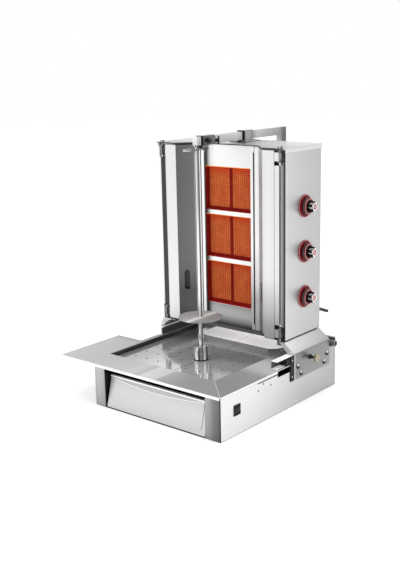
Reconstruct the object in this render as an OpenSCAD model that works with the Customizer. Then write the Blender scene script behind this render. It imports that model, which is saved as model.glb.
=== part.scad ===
// Gas doner kebab grill: floor-standing spit over a perforated drip floor, a
// three-burner tower on a sliding carriage, two hinged heat shields and a top arm.
// Millimetres, +Z up, +Y to the back. Origin: foot of the spit axis on the ground.

/* [Base] */
// right side of the base from the spit axis
base_xr = 293; // [250:1:340]
// left side of the body behind the front post
base_xl = 262; // [230:1:300]
// left edge of the front post
post_xl = 217; // [180:1:250]
// front plane in front of the spit axis
base_yf = 268; // [220:1:320]
// back plane behind the spit axis
base_yb = 345; // [300:1:400]
// height of the tray top
tray_z = 138; // [110:1:170]
// height of the back upstand
upstand_z = 166; // [150:1:168]
// sheet thickness
t = 1.5; // [1:0.25:2.5]

/* [Tray and floor] */
// left edge of the side shelf
wing_x = 370; // [320:1:420]
// back edge of the side shelf in front of the axis
wing_y = 4; // [-20:1:60]
// skirt height
skirt = 9; // [6:0.5:14]
// depth of the floor below the tray top
floor_d = 16; // [10:1:30]
// drain hole diameter
drain_d = 5; // [3:0.5:8]

/* [Spit] */
// rod diameter
rod_d = 14.5; // [10:0.5:20]
// disc diameter
disc_d = 140; // [100:1:200]
// disc height above the ground
disc_z = 263; // [220:1:400]
// top of the rod
rod_top = 806; // [700:1:820]
// socket diameter
sock_d = 36; // [28:1:44]

/* [Tower] */
// half width
tow_x = 255; // [220:1:280]
// front plane of the shields
tow_y = 103; // [90:1:140]
// back plane
tow_yb = 306; // [280:1:360]
// bottom
tow_z0 = 201; // [190:1:220]
// top
tow_z1 = 805; // [700:1:900]
// fascia plane
fas_y = 152; // [140:1:180]
// burner pitch
bur_p = 157.5; // [150:0.5:170]
// burner opening height
bur_h = 144; // [120:1:150]
// lowest burner opening
bur_z = 271; // [250:1:300]
// half width of the burner opening
bur_x = 93; // [70:1:110]

/* [Hidden] */
fz = tray_z - floor_d;             // floor top, 122
by0 = 170; bx0 = 248; bx1 = 193; by1 = 326;   // basin opening
cw_r = base_xr + 2.5; cw_l = base_xl + 4.5;   // outer faces of the carriage plates
kz = [326, 473, 617]; ky = 215;
lock_y = 189; lock_z = 138.5;
sw_y = -191; sw_z = 78;
eps = 0.01;

STEEL = [0.78, 0.79, 0.80]; BRIGHT = [0.88, 0.89, 0.90]; DARK = [0.25, 0.26, 0.28];
BLACK = [0.06, 0.06, 0.07]; RED = [0.75, 0.09, 0.09]; BRASS = [0.78, 0.66, 0.36]; FIRE = [0.86, 0.36, 0.12];

// box from corner to corner
module bx(a, b) { translate(a) cube([b[0]-a[0], b[1]-a[1], b[2]-a[2]]); }
// cylinders along each axis, from p, length h
module cz(p, d, h, n = 48) { translate(p) cylinder(d = d, h = h, $fn = n); }
module cx(p, d, h, n = 48) { translate(p) rotate([0, 90, 0]) cylinder(d = d, h = h, $fn = n); }
module cy(p, d, h, n = 48) { translate(p) rotate([-90, 0, 0]) cylinder(d = d, h = h, $fn = n); }
module wall(p, q, w, z0, z1) { // straight sheet from p to q in plan
  d = q - p; l = norm(d); a = atan2(d[1], d[0]);
  translate([p[0], p[1], z0]) rotate([0, 0, a]) translate([0, -w/2, 0]) cube([l, w, z1 - z0]);
}

// ---------------------------------------------------------------- base body
module base_bottom() color(STEEL) difference() {
  union() {
    bx([-post_xl, -base_yf, 0], [base_xr, -218, t]);
    bx([-base_xl, -218-eps, 0], [base_xr, base_yb, t]);
  }
  for (i = [0:5]) bx([-60 + i*24, 150, -1], [-50 + i*24, 230, t+1]);
}
module base_side_walls() { wall_right(); wall_left(); }
module wall_right() color(STEEL) difference() {
  bx([base_xr - t, -base_yf + t, t], [base_xr, base_yb - t, tray_z - t]);
  bx([base_xr - 5, -90, 125.3], [base_xr + 5, 230, 128.7]);
  bx([base_xr - 5, 14, 117], [base_xr + 5, 98, tray_z]);
  bx([base_xr - 5, sw_y - 13.7, sw_z - 14.8], [base_xr + 5, sw_y + 13.7, sw_z + 14.8]);
  for (p = [[-61, 119], [-22, 105], [-87, 104]]) cx([base_xr - 5, p[0], p[1]], 4, 10, 24);
}
module wall_left() color(STEEL) difference() {
  union() {
    bx([-base_xl, -218, t], [-base_xl + t, base_yb - t, tray_z - t]);
    bx([-base_xl + t, -218, t], [-post_xl + t, -218 + t, tray_z - t]);
  }
  bx([-base_xl - 5, 60, 125.3], [-base_xl + 5, base_yb - 10, 128.7]);
  for (i = [0:6]) bx([-base_xl - 5, 90 + i*28, 28], [-base_xl + 5, 108 + i*28, 34]);
}
module post(x0, x1, xo) { // channel post, xo = outer side
  bx([x0, -base_yf, t], [x1, -base_yf + t, 129]);
  bx([x0, -base_yf + t, t], [x0 + t, xo < 0 ? -218 : -228, 129]);
  bx([x1 - t, -base_yf + t, t], [x1, -228, 129]);
}
module base_posts() { post_left(); post_right(); }
module post_left() color(STEEL) {
  post(-post_xl, -172, -1);
  bx([-post_xl, -base_yf + t, 129 - eps], [-post_xl + t, -218, tray_z - t]);
}
module post_right() color(STEEL) {
  bx([236, -base_yf, t], [base_xr, -base_yf + t, 129]);
  bx([236, -base_yf + t, t], [236 + t, -228, 129]);
  bx([236, -229.5, t], [252, -228, 129]);
}
module base_back() color(STEEL) difference() {
  union() {
    bx([-base_xl, base_yb - t, t], [base_xr, base_yb, upstand_z]);
    bx([-base_xl, base_yb - 12, upstand_z - t], [base_xr, base_yb - t + eps, upstand_z]);
  }
  for (i = [0:8], j = [0:2]) bx([-130 + i*30, base_yb - 5, 40 + j*16], [-110 + i*30, base_yb + 5, 45 + j*16]);
}
module tray_top() color(BRIGHT) {
  difference() {
    union() {
      bx([-wing_x, -base_yf - 3, tray_z - t], [base_xr, -wing_y, tray_z]);
      bx([-base_xl - 1.5, -wing_y - eps, tray_z - t], [base_xr, base_yb - t - 0.2, tray_z]);
    }
    bx([-bx0, -by0, tray_z - 10], [bx1, by1, tray_z + 10]);
  }
  // skirts
  bx([-wing_x, -base_yf - 3, tray_z - skirt], [base_xr - 2, -base_yf - 3 + t, tray_z - t + eps]);
  bx([-wing_x, -base_yf - 3 + t - eps, tray_z - skirt], [-wing_x + t, -wing_y, tray_z - t + eps]);
  bx([-wing_x + t - eps, -wing_y - t, tray_z - skirt], [-base_xl - 2.5, -wing_y, tray_z - t + eps]);
  // folded bead along the right edge, ending ahead of the carriage
  bx([base_xr - eps, -base_yf + 6, tray_z - t], [base_xr + 1.6, 12, tray_z]);
  bx([base_xr + 0.05, -base_yf + 6, tray_z - 3.5], [base_xr + 1.6, 12, tray_z - t + eps]);
}
module basin() color(STEEL) difference() {
  bx([-bx0 - t, -by0 - t, fz - 2*t], [bx1 + t, by1 + t, tray_z - t]);
  bx([-bx0, -by0, fz - t], [bx1, by1, tray_z + 1]);
  bx([-bx0 + 9, -by0 + 9, fz - 10], [bx1 - 9, by1 - 9, tray_z + 1]);
}
module floor_half(x0, x1, xs) color(STEEL) difference() {
  bx([x0, -by0 + 1, fz - t], [x1, by1 - 1, fz]);
  cz([0, 0, fz - 5], 47, 10, 64);
  for (x = xs, y = [-152, -98, -43, 11, 65, 120]) cz([x, y, fz - 5], drain_d, 10, 20);
}
module floor_left() floor_half(-bx0 + 1, -0.5, [-200, -150, -100, -47]);
module floor_right() floor_half(0.5, bx1 - 1, [19, 71, 121, 172]);
module deck_half(s) color(BRIGHT) translate([0, 0, fz]) difference() {
  union() {
    linear_extrude(14) difference() {
      translate([s > 0 ? 0.6 : -165, 182]) square([164.4, 138]);
      translate([s*125, 222]) difference() { translate([s > 0 ? 0 : -41, -41]) square([41, 41]); circle(r = 40, $fn = 64); }
    }
  }
  translate([s > 0 ? 2 : -163.6, 183.5, -1]) cube([161.6, 130, 13.5]);
}
module deck() for (s = [-1, 1]) intersection() { deck_half(s); bx([-170, 170, fz], [170, 330, fz + 20]); }
// sloped pan under the floor, emptying into the drawer
module drip_pan() color(STEEL) difference() {
  union() {
    difference() {
      bx([-244, -166, 97], [189, 321, fz - 3]);
      translate([-242.5, -164.2, 99]) rotate([1, 0, 0]) cube([430, 484, 40]);
    }
    cz([0, 0, 97.2], 60, 21);
  }
  cz([0, 0, 90], 46.6, 40, 64);
  bx([-40, -150, 80], [40, -110, 130]);
}
// ---------------------------------------------------------------- drawer
module drawer_body() color(STEEL) difference() {
  bx([-160, -236, 9], [224, -60, 84]);
  bx([-158.5, -234.5, 10.5], [222.5, -61.5, 90]);
}
module drawer_front() color(BRIGHT) {
  // leaning sheet with a raised field, its lower corners rounded
  translate([0, -base_yf + 1, 4]) rotate([-14, 0, 0]) {
    translate([-168, 0, 0]) cube([401, t, 103]);
    difference() {
      translate([-150, -1.2, 13]) cube([367, 1.2 + eps, 85]);
      for (s = [0, 1]) translate([s ? 217 : -150, 0, 13]) rotate([90, 0, 0]) translate([0, 0, -3])
        linear_extrude(8) difference() {
          translate([s ? -14 : -1, -1]) square(15);
          translate([s ? -14 : 14, 14]) circle(r = 14, $fn = 40);
        }
    }
  }
  // shelf tying the front to the drawer box
  bx([-168, -base_yf + 2, 4], [233, -236, 4 + t]);
  // cheeks
  for (x = [-168, 231.5]) translate([x, 0, 0]) rotate([90, 0, 90]) linear_extrude(t)
    polygon([[-base_yf + 2, 4.7], [-236, 4.7], [-236, 103.6], [-base_yf + 26.2, 103.6]]);
  // bent grip lip along the top
  bx([-168, -base_yf + 22, 103], [233, -236, 103 + t]);
  bx([-168, -base_yf + 22, 99.5], [233, -base_yf + 22 + t, 103 + t]);
}
module drawer_runners() color(STEEL) {
  for (x = [-169, 227]) bx([x, -222, t], [x + 3, -50, 34]);
  bx([-166 - eps, -222, t], [-152, -50, 8.4]); bx([214, -222, t], [227 + eps, -50, 8.4]);
}
// ---------------------------------------------------------------- rails
module rails() color(STEEL) {
  bx([264, 18, tray_z], [289, 240, tray_z + 2]);
  bx([264, 18, tray_z + 2 - eps], [266, 240, tray_z + 24]);
  bx([264, 18, tray_z + 24 - eps], [289, 240, tray_z + 26]);
  bx([-261, 88, tray_z], [-249, 290, tray_z + 2]);
  bx([-250.5, 88, tray_z + 2 - eps], [-249, 290, tray_z + 24]);
  bx([-261, 88, tray_z + 24 - eps], [-249, 290, tray_z + 26]);
}
// ---------------------------------------------------------------- drive
module gear_motor() color(DARK) {
  cy([0, 52, 48], 64, 88);
  cy([0, 140 - eps, 48], 56, 6);
  bx([-20, 70, 79], [20, 110, 88]);
  bx([-36, 60, t], [36, 120, 20]);
}
module gearbox() color([0.5, 0.52, 0.54]) difference() {
  union() { bx([-45, -45, t], [45, 52, 84]); cz([0, 0, 84 - eps], 44, 8); }
  cz([0, 0, 40], 20.2, 60);
}
module spindle_shaft() color(STEEL) {
  cz([0, 0, 41], 20, 80);
  cz([0, 0, 93], 32, 6);
}
module spindle_seal() color(BLACK) difference() { cz([0, 0, 110], 46.4, 14, 64); cz([0, 0, 100], 38, 30, 64); }
module spit_socket() color(BRIGHT) {
  difference() {
    union() { cz([0, 0, 121], sock_d, 5, 64); cz([0, 0, 125.5], sock_d + 7, 36.5, 64); cz([0, 0, 162 - eps], sock_d + 3, 5, 64); }
    cz([0, 0, 128], rod_d + 0.2, 60);
    for (a = [0:60:300]) rotate([0, 0, a + 20]) bx([15, -2, 158], [24, 2, 168]);
    for (a = [-50, 130]) rotate([0, 0, a]) cx([6, 0, 148], 6, 20, 24);
  }
  // grub screws
  for (a = [-50, 130]) rotate([0, 0, a]) { cx([11, 0, 148], 6, 9.5, 24); cx([20.4, 0, 148], 9, 2.6, 24); }
}
module spit_rod() color(BRIGHT) {
  cz([0, 0, 210], rod_d, rod_top - 210 - 12);
  cz([0, 0, rod_top - 12 - eps], rod_d - 1, 12);
  // flattened foot
  bx([-rod_d/2 + 0.4, -4, 190], [rod_d/2 - 0.4, 4, 211]);
  cz([0, 0, 129], rod_d, 62);
}
module spit_disc() color(BRIGHT) {
  difference() { cz([0, 0, disc_z], disc_d, 3, 96); cz([0, 0, disc_z - 20], rod_d + 0.08, 40); }
  difference() { cz([0, 0, disc_z - 14], 30, 14 + eps); cz([0, 0, disc_z - 20], rod_d + 0.08, 40); }
  cx([14.6, 0, disc_z - 7], 7, 8, 24);
}
// ---------------------------------------------------------------- carriage
module side_plate(s, xo) { // outer face at xo on side s
  x0 = s > 0 ? xo - 2 : -xo; x1 = s > 0 ? xo : -xo + 2;
  difference() {
    bx([x0, 101, 84], [x1, 305, 168]);
    if (s > 0) cx([x0 - 5, lock_y, lock_z], 8.16, 12, 32);
  }
}
module carriage_sides() { side_right(); side_left(); }
module side_right() color(STEEL) {
  side_plate(1, cw_r);
  // leaning panel up to the tower
  rotate([90, 0, 0]) translate([0, 0, -305]) linear_extrude(204)
    polygon([[cw_r - 2, 168 - eps], [cw_r, 168 - eps], [tow_x + 1, tow_z0 - 2.5], [tow_x - 2, tow_z0 - 2.5]]);
  // gusset closing the front end
  rotate([90, 0, 0]) translate([0, 0, -103]) linear_extrude(2)
    polygon([[cw_r - 1, 161.4], [cw_r - 1, 168], [tow_x - 1, tow_z0 - 2.5], [tow_x - 18, tow_z0 - 2.5], [cw_r - 29, 168], [cw_r - 5, 166], [cw_r - 5, 161.4]]);
  cy([cw_r - 24, 98.5, 176], 8, 2.6, 24);
}
module side_left() color(STEEL) {
  side_plate(-1, cw_l);
  rotate([90, 0, 0]) translate([0, 0, -305]) linear_extrude(204)
    polygon([[-cw_l + 2, 168 - eps], [-cw_l, 168 - eps], [-tow_x, tow_z0 - 2.5], [-tow_x + 3, tow_z0 - 2.5]]);
  rotate([90, 0, 0]) translate([0, 0, -103]) linear_extrude(2)
    polygon([[-cw_l + 1, 165], [-cw_l + 1, 168], [-tow_x + 2, tow_z0 - 2.5], [-196, tow_z0 - 2.5], [-216, 196], [-232, 190], [-243, 181], [-250, 171], [-252, 165]]);
  for (p = [[-257.5, 169.5], [-249.5, 184]]) cy([p[0], 98.5, p[1]], 5.5, 2.6, 24);
}
module carriage_frame() color(DARK) {
  // cross bars and long bars under the tower, clear above the back upstand
  for (y = [156, 276]) bx([-tow_x + 5, y, tow_z0 - 16], [tow_x - 5, y + 24, tow_z0 - 1]);
  for (s = [-1, 1]) bx([s > 0 ? tow_x - 30 : -tow_x + 5, 106, tow_z0 - 16], [s > 0 ? tow_x - 5 : -tow_x + 30, 300, tow_z0 - 1]);
}
module carriage_pads() color(BLACK) {
  // glides in the rails and guide studs in the side slots
  for (y = [118, 196]) {
    bx([268, y, 141.2], [cw_r - 2, y + 26, 160.8]);
    cx([base_xr - 8, y + 3, 127], 2.7, 8.5, 24);
  }
  for (y = [158, 230]) {
    bx([-cw_l + 2, y, 141.2], [-252, y + 26, 160.8]);
    cx([-cw_l + 2, y + 3, 127], 2.7, 8.5, 24);
  }
  // end strip ahead of the right side plate
  difference() {
    bx([cw_r - 1.9, 80, 84], [cw_r, 101, 166]);
    for (z = [98, 152]) cx([cw_r - 5, 90, z], 6, 10, 24);
  }
  // ribbed front glide in the right rail
  difference() {
    union() { bx([268, 60, 141.2], [cw_r - 1.9 + eps, 101, 160.8]); bx([268, 101 - eps, 141.2], [cw_r - 2, 118, 160.8]); }
    for (z = [145.4, 150.2, 155]) bx([267, 55, z], [276, 120, z + 2]);
    for (y = [66, 74, 82, 90, 98, 106]) bx([266, y, 152], [282, y + 3, 165]);
  }
}
module carriage_bolts() color(BRIGHT) {
  for (s = [-1, 1], p = [[121, 124], [138, 98], [289, 124], [273, 99]])
    translate([s > 0 ? cw_r : -cw_l, p[0], p[1]]) rotate([0, s*90, 0])
      rotate_extrude($fn = 48) polygon([[0, 0], [8.2, 0], [8, 1.5], [7.1, 2.8], [5.3, 3.9], [3, 4.6], [0, 4.8]]);
}
module lock_knob() color(BRASS) {
  cx([cw_r - 2.1, lock_y, lock_z], 8, 25, 32);
  cx([cw_r + 0.4, lock_y, lock_z], 17, 3, 32);
  cx([cw_r + 17, lock_y, lock_z], 15, 5, 32);
  cx([cw_r + 21.5, lock_y, lock_z], 25, 7, 40);
}
// ---------------------------------------------------------------- tower
module tower_sides() color(STEEL) {
  for (s = [-1, 1]) difference() {
    union() {
      bx([s > 0 ? tow_x - t : -tow_x, 108, tow_z0], [s > 0 ? tow_x : -tow_x + t, tow_yb - 1.5, tow_z1 - 4]);
      bx([s > 0 ? tow_x - 23 : -tow_x, 108, 246], [s > 0 ? tow_x : -tow_x + 23, 108 + t, 755]);
    }
    if (s > 0) for (z = kz) cx([tow_x - 10, ky, z], 26, 20, 40);
  }
  // bottom plate
  difference() {
    translate([0, 0, tow_z0 - 1]) linear_extrude(t + 0.5) polygon([[-tow_x + t, 108], [-176, 108], [-134, 150], [134, 150], [176, 108], [tow_x - t, 108], [tow_x - t, tow_yb - 1.5], [-tow_x + t, tow_yb - 1.5]]);
    bx([-100, 190, tow_z0 - 5], [100, 260, tow_z0 + 5]);
  }
}
module tower_front() color(BRIGHT) difference() {
  union() {
    bx([-134, fas_y, tow_z0 + 1], [134, fas_y + t, tow_z1 - 4]);
    for (s = [-1, 1]) {
      wall([s*133.5, fas_y + 0.75], [s*181, 119], t, tow_z0 + 1, tow_z1 - 4);
      bx([s > 0 ? 180.5 : -224, 118, tow_z0 + 1], [s > 0 ? 224 : -180.5, 118 + t, tow_z1 - 4]);
      bx([s > 0 ? 223 : -tow_x + t, 122, tow_z0 + 1], [s > 0 ? tow_x - t : -223, 122 + t, tow_z1 - 4]);
      bx([s > 0 ? 223 : -223 - t, 118, tow_z0 + 1], [s > 0 ? 223 + t : -223, 122 + t, tow_z1 - 4]);
      // proud guide strips beside the burners
      bx([s > 0 ? 95 : -106, fas_y - 5, 222], [s > 0 ? 106 : -95, fas_y - 3.5, 781]);
      bx([s > 0 ? 104.5 : -106, fas_y - 5, 222], [s > 0 ? 106 : -104.5, fas_y + eps, 781]);
      bx([s > 0 ? 110 : -128, fas_y - 4, 204], [s > 0 ? 128 : -110, fas_y + eps, 798]);
    }
  }
  for (i = [0:2]) bx([-bur_x, fas_y - 1, bur_z + i*bur_p], [bur_x, fas_y + 5, bur_z + i*bur_p + bur_h]);
}
module tower_back() color(STEEL) difference() {
  union() {
    bx([-tow_x, tow_yb - 1.5, tow_z0], [tow_x, tow_yb, tow_z1 - 4]);
    bx([-tow_x + 12, tow_yb - eps, 250], [tow_x - 12, tow_yb + 1, 760]);
  }
  for (j = [0:11], i = [0:3]) bx([-180 + i*96, tow_yb - 5, 300 + j*36], [-108 + i*96, tow_yb + 5, 308 + j*36]);
}
module tower_cap() color(STEEL) {
  pts = [[-tow_x - 0.8, 98], [-178, 98], [-126, 146], [126, 146], [178, 98], [tow_x + 0.8, 98], [tow_x + 0.8, tow_yb + 1.6], [-tow_x - 0.8, tow_yb + 1.6]];
  translate([0, 0, tow_z1 - 4]) linear_extrude(4) difference() {
    polygon(pts);
    for (s = [-1, 1]) translate([s*238, 106]) circle(d = 6.6, $fn = 24);
  }
  for (s = [-1, 1]) bx([s > 0 ? tow_x + 0.1 : -tow_x - 1.4, 106, tow_z1 - 16], [s > 0 ? tow_x + 1.4 : -tow_x - 0.1, tow_yb + 1.6, tow_z1 - 3]);
  bx([-tow_x - 1.4, tow_yb + 1.1, tow_z1 - 16], [tow_x + 1.4, tow_yb + 2.4, tow_z1 - 3]);
}
hx = 238; hy = 106;   // shield hinge axis
module hinge_pins() color(BRIGHT) for (s = [-1, 1], k = [0, 1]) {
  z = k ? 762 : 208;
  // bracket pair and pin; the top pin is a round-head screw through the cap
  for (dz = [0, 30]) bx([s*hx - 6, hy - 6, z + dz], [s*hx + 6, 122, z + dz + 3]);
  cz([s*hx, hy, z - 4], 6, k ? 52 : 40, 24);
  cz([s*hx, hy, z - 6], 10, 6 + eps, 24);
  if (k) cz([s*hx, hy, tow_z1 + 0.3], 14, 5, 32);
}
module shield(s) {
  // outer flat and leaning inner panel with a finger slot
  difference() {
    union() {
      bx([s > 0 ? 175 : -220, tow_y - 3, 205], [s > 0 ? 220 : -175, tow_y - 1.5, 797]);
      wall([s*175.5, tow_y - 2.25], [s*130, 144], t, 205, 797);
      // outer strip bent back a little, with cut corners at the hinges
      wall([s*219.6, tow_y - 2.2], [s*236.2, tow_y + 0.6], t, 252, 752);
    }
    translate([s*155, 121, 343]) rotate([0, 0, s*-43]) hull() {
      for (dz = [-25, 25]) translate([0, -12, dz]) rotate([-90, 0, 0]) cylinder(d = 18, h = 24, $fn = 32);
    }
    bx([s > 0 ? 128 : -180, 90, 204], [s > 0 ? 180 : -128, 160, 216]);
  }
  // knuckles on the pins
  for (z = [765.5, 211.5]) difference() {
    union() { cz([s*hx, hy, z], 12, 26, 32); bx([s > 0 ? 219 : -hx, hy - 6, z], [s > 0 ? hx : -219, hy - 3, z + 26]); }
    cz([s*hx, hy, z - 1], 6.1, 30, 32);
  }
}
module wing_left() color(BRIGHT) shield(-1);
module wing_right() color(BRIGHT) shield(1);
// ---------------------------------------------------------------- burners
module burner(i) color([0.45, 0.2, 0.14]) translate([0, fas_y + t, bur_z + i*bur_p]) {
  difference() {
    bx([-bur_x - 6, 0, -3], [bur_x + 6, 50, bur_h + 3]);
    bx([-bur_x, -1, 0], [bur_x, 16, bur_h]);
    bx([-bur_x + 3, 15, 10], [-2, 30, bur_h - 4]); bx([2, 15, 10], [bur_x - 3, 30, bur_h - 4]);
    bx([-bur_x + 6, 29, 14], [bur_x - 6, 48, bur_h - 8]);
    cx([bur_x - 20, 38, bur_h/2], 18, 40, 32);
    bx([bur_x - 2, 6, bur_h/2 - 4], [bur_x + 10, 12, bur_h/2 + 2]);
  }
  // mixing tube
  difference() { cx([bur_x - 1, 38, bur_h/2], 22, 33, 32); cx([bur_x - 2, 38, bur_h/2], 18, 36, 32); }
}
module burner_1() burner(0);
module burner_2() burner(1);
module burner_3() burner(2);
module plaques(i) color(FIRE) translate([0, fas_y + t, bur_z + i*bur_p]) for (s = [-1, 1]) difference() {
  bx([s > 0 ? 2.1 : -bur_x + 3.1, 17, 10.1], [s > 0 ? bur_x - 3.1 : -2.1, 30, bur_h - 4.1]);
  for (a = [0:8]) bx([s > 0 ? 1 : -bur_x + 2, 16, 15 + a*14.2], [s > 0 ? bur_x : -1, 17.6, 16.2 + a*14.2]);
}
module plaques_1() plaques(0);
module plaques_2() plaques(1);
module plaques_3() plaques(2);
module thermocouples() color(DARK) for (i = [0:2]) {
  z = bur_z + i*bur_p + bur_h/2 - 1;
  cx([80, fas_y + t + 9, z], 3, 40, 20);
  cx([104, fas_y + t + 9, z], 6, 8, 20);
}
// ---------------------------------------------------------------- gas train
module gas_train() { gas_valves(); gas_pipes(); }
module gas_valves() color(BRASS) for (z = kz) difference() {
  union() {
    cx([206, ky, z], 30, 40, 40);
    cx([246 - eps, ky, z], 20, 7, 32);
    bx([212, ky - 12, z - 10], [238, ky + 34, z + 10]);
  }
  cx([234, ky, z], 8.16, 30, 32);
}
module gas_pipes() color(STEEL) {
  // supply riser behind the valves and branch pipes to the mixing tubes
  cz([225, ky + 40, 218], 20, 452, 40);
  cy([225, ky + 40, 232], 16, 304.4 - ky - 40, 32);
  for (i = [0:2]) {
    zb = bur_z + i*bur_p + bur_h/2; zv = kz[i]; yb = fas_y + t + 38;
    cx([125, yb, zb], 14, 61, 24);
    cz([180, yb, min(zb, zv) - 7], 12, abs(zb - zv) + 14, 24);
    cx([176, yb, zv], 10, 31, 24);
  }
}
module knob_bezels() color(RED) for (z = kz) translate([tow_x, ky, z]) rotate([0, 90, 0]) difference() {
  union() {
    cylinder(d = 64, h = 3.6, $fn = 64);
    for (a = [0:30:330]) rotate([0, 0, a]) translate([32, 0, 0]) cylinder(d = 10, h = 3, $fn = 24);
  }
  translate([0, 0, -1]) cylinder(d = 12, h = 10, $fn = 32);
}
module valve_stem(z) color(STEEL) cx([240, ky, z], 8, 34, 32);
module valve_stem_1() valve_stem(kz[0]);
module valve_stem_2() valve_stem(kz[1]);
module valve_stem_3() valve_stem(kz[2]);
module knob(z) translate([tow_x + 8.5, ky, z]) rotate([0, 90, 0]) {
  color([0.42, 0.36, 0.34]) difference() { cylinder(d = 54, h = 8, $fn = 64); translate([0, 0, -1]) cylinder(d = 8.1, h = 12, $fn = 32); }
  color(RED) difference() { translate([0, 0, 8 - eps]) cylinder(d = 46, h = 2, $fn = 64); translate([0, 0, 0]) cylinder(d = 8.1, h = 12, $fn = 32); }
  color(BLACK) difference() {
    union() {
      for (a = [-20, 70]) rotate([0, 0, a]) translate([-18.5, -6, 9.9]) cube([37, 12, 17]);
      rotate([0, 0, 25]) translate([-12.2, -12.2, 24]) cube([24.4, 24.4, 3.4]);
    }
    translate([0, 0, 0]) cylinder(d = 8.1, h = 12, $fn = 32);
  }
  color(BRIGHT) rotate([0, 0, 25]) translate([-11.6, -11.6, 27.4 - eps]) cube([23.2, 23.2, 2.3]);
}
module knob_1() knob(kz[0]);
module knob_2() knob(kz[1]);
module knob_3() knob(kz[2]);
// ---------------------------------------------------------------- top arm
ax = 10; az0 = 812; az1 = 838;   // arm bar section
arm_y = 86; arm_z = 821;           // side screw
module arm_collar() color(STEEL) difference() {
  union() {
    bx([-ax - 4, 222, tow_z1 + 4], [ax + 4, 270, az1 + 3.5]);
    hull() { bx([-ax - 6, 222, tow_z1 + 5.9], [ax + 6, 272, tow_z1 + 6]); bx([-ax - 24, 206, tow_z1], [ax + 24, 288, tow_z1 + 2]); }
  }
  bx([-ax - 0.5, 190, az0 - 0.5], [ax + 0.5, 300, az1 + 0.5]);
}
module arm_bar() color(STEEL) {
  difference() {
    bx([-ax, -7, az0], [ax, 467, az1]);
    bx([-ax + 1.5, -5.5, az0 + 1.5], [ax - 1.5, 436, az1 - 1.5]);
    cx([ax - 5, arm_y, arm_z], 6.2, 10, 24);
  }
  bx([-ax, 438, 773], [ax, 467, az0 + eps]);
  cy([2, 436.4, 806], 5.5, 1.6 + eps, 20);
}
module arm_head() color(BRIGHT) {
  difference() {
    bx([-13, 13, 810], [13, 73, az1 + 2]);
    bx([-ax, 10, az0], [ax, 80, az1]);
    cx([5, 40, 824], 6.2, 20, 24);
  }
  bx([-12, 14, 803 - eps], [12, 40, 810 + eps]);
  // open hook plate holding the top of the rod
  difference() {
    union() { bx([-15, -42, 797], [15, 40, 803]); cz([0, -42, 797], 30, 6, 48); }
    hull() { cz([0, 0, 790], 16.2, 20, 32); cz([0, -40, 790], 16.2, 20, 32); }
    bx([-30, -40, 790], [-2, -26, 810]);
  }
}
module head_screw() color(DARK) {
  cx([10.5, 40, 824], 6, 8, 24);
  cx([13.4, 40, 824], 16, 6, 32);
  cx([19, 40, 824], 9, 6, 24);
}
module arm_screw() color(DARK) {
  cx([ax - 1.2, arm_y, arm_z], 6, 8, 24);
  cx([ax + 0.4, arm_y, arm_z], 12, 5, 24);
  bx([ax + 5.3, arm_y - 1.8, arm_z - 13], [ax + 10, arm_y + 1.8, arm_z + 13]);
}
// ---------------------------------------------------------------- switch, inlet, handle
module switch_body() color(BLACK) difference() {
  union() {
    bx([base_xr, sw_y - 15, sw_z - 16.2], [base_xr + 2, sw_y + 15, sw_z + 16.2]);
    bx([base_xr - 24, sw_y - 13.4, sw_z - 14.5], [base_xr + eps, sw_y + 13.4, sw_z + 14.5]);
  }
  cy([base_xr - 6, sw_y - 12, sw_z], 3.1, 24, 24);
  for (dy = [-6.2, 6.2]) bx([base_xr - 12, sw_y + dy - 5.4, sw_z - 13], [base_xr + 5, sw_y + dy + 5.4, sw_z + 13]);
}
module rocker(y) color([0.12, 0.12, 0.13]) {
  intersection() {
    translate([base_xr - 6, y - 5.1, sw_z]) rotate([-90, 0, 0]) cylinder(r = 12.2, h = 10.2, $fn = 64);
    translate([base_xr - 6, y - 6, sw_z]) rotate([0, 8, 0]) translate([-2, 0, -12]) cube([10, 12, 24]);
  }
  cy([base_xr - 6, y - 5.6, sw_z], 3, 11.2, 24);
}
module rocker_1() rocker(sw_y - 6.2);
module rocker_2() rocker(sw_y + 6.2);
module gas_inlet() color(BRASS) {
  // pipe out of the tower's back, down, across and out to a threaded stub at the right
  cy([225, 306, 232], 14, 8, 32);
  bx([216, 313, 223], [234, 331, 241]);
  cz([225, 322, 158], 14, 66, 32);
  bx([216, 313, 141], [234, 331, 159]);
  cx([233, 322, 150], 14, 48, 32);
  cx([280, 322, 150], 16, 6, 32);
  cx([284, 322, 150], 22, 8, 6);
  difference() { cx([292 - eps, 322, 150], 20.6, 16, 48); cx([288, 322, 150], 12, 30, 32); }
}
module cable_gland() color(BLACK) difference() {
  union() {
    cy([-200, base_yb, 60], 26, 5, 6);
    cy([-200, base_yb + 5 - eps, 60], 18, 9, 40);
    cy([-200, base_yb + 14 - 2*eps, 60], 14, 3, 40);
  }
  cy([-200, base_yb - 1, 60], 8, 30, 32);
}
module rear_handle() color(BLACK) {
  cy([240, 307, 263], 15, 4, 32);
  translate([240, 310, 263]) rotate([-110.5, 0, 0]) {
    cylinder(d = 11, h = 70, $fn = 32);
    translate([0, 0, 70 - eps]) cylinder(d1 = 11, d2 = 7, h = 4, $fn = 32);
  }
}

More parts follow.
